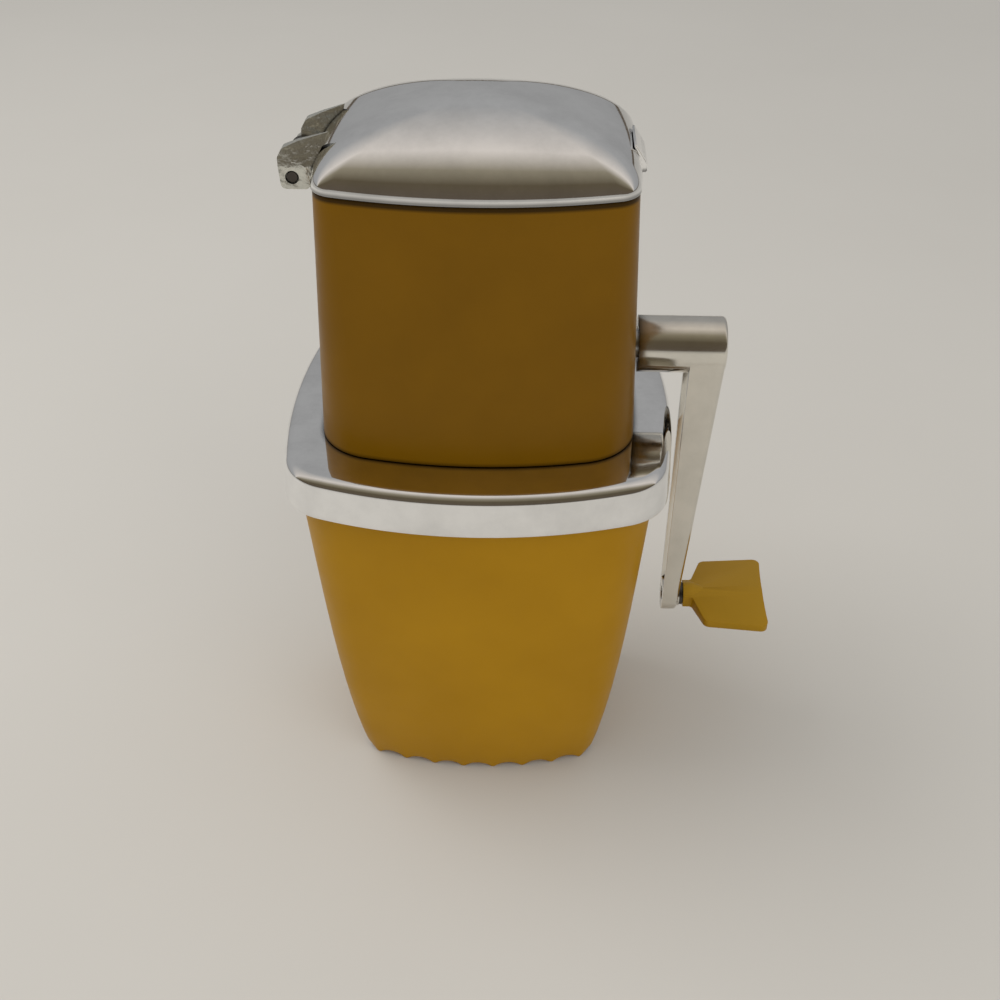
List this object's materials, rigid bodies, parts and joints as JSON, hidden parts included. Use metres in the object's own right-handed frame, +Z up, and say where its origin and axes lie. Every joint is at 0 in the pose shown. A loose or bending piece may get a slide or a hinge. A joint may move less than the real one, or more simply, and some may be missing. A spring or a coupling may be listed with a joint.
{
  "type": "hand crank ice crusher",
  "caption": "Table-top ice crusher: a flared cup under a lift-off head with a hinged domed lid and a side crank that turns toothed wheels.",
  "frame": {"origin": "on the floor, at the middle of the cup's foot", "axes": "+Z up, +X towards the crank, -X towards the lid hinge, -Y towards the front"},
  "size_m": [0.1721, 0.1222, 0.248],
  "materials": {
    "cup_plastic": "moulded, glossy",
    "housing_paint": "gloss enamel",
    "collar_chrome": "polished",
    "lid_chrome": "polished, lightly worn",
    "ear_casting": "rough cast, dull",
    "crank_plate": "satin, stained",
    "knob_plastic": "moulded, satin",
    "hopper_casting": "as cast",
    "bush_brass": "turned",
    "rotor_steel": "plated",
    "hardware_steel": "plated"
  },
  "bodies": {
    "cup": {"cup": "cup_plastic"},
    "head": {"collar": "collar_chrome", "upper_housing": "housing_paint", "hopper": "hopper_casting", "crusher_chamber": "hopper_casting", "bearing_bush_left": "bush_brass", "bearing_bush_right": "bush_brass", "coarse_comb": "rotor_steel", "fine_comb": "rotor_steel", "comb_screws": "hardware_steel", "collar_screws": "hardware_steel", "hinge_bracket": "hardware_steel", "hinge_rivets": "hardware_steel", "hinge_pin": "hardware_steel"},
    "lid": {"lid": "lid_chrome", "lid_ear_front": "ear_casting", "lid_ear_rear": "ear_casting"},
    "crank": {"drive_shaft": "rotor_steel", "shaft_washer": "hardware_steel", "shaft_retaining_ring": "hardware_steel", "crank_arm": "crank_plate", "crank_set_screw": "hardware_steel", "knob_pin": "hardware_steel", "knob_washer": "hardware_steel", "crusher_wheel_1": "rotor_steel", "crusher_wheel_2": "rotor_steel", "crusher_wheel_3": "rotor_steel", "crusher_wheel_4": "rotor_steel", "crusher_wheel_5": "rotor_steel", "rotor_spacer_1": "rotor_steel", "rotor_spacer_2": "rotor_steel", "rotor_spacer_3": "rotor_steel", "rotor_spacer_4": "rotor_steel", "end_spacer_right": "rotor_steel", "end_spacer_left": "rotor_steel"},
    "knob": {"crank_knob": "knob_plastic"}
  },
  "joints": [
    {"name": "head_lift", "type": "slide", "parent": "cup", "child": "head", "axis": [0, 0, 1], "range_m": [0, 0.15]},
    {"name": "lid_hinge", "type": "hinge", "parent": "head", "child": "lid", "pos_m": [-0.056, 0, 0.225], "axis": [0, -1, 0], "range_deg": [0, 110]},
    {"name": "crank_turn", "type": "hinge", "parent": "head", "child": "crank", "pos_m": [0, 0, 0.162], "axis": [1, 0, 0], "continuous": true},
    {"name": "knob_spin", "type": "hinge", "parent": "crank", "child": "knob", "pos_m": [0.0758, 0, 0.05565], "axis": [1, 0, 0], "continuous": true}
  ]
}
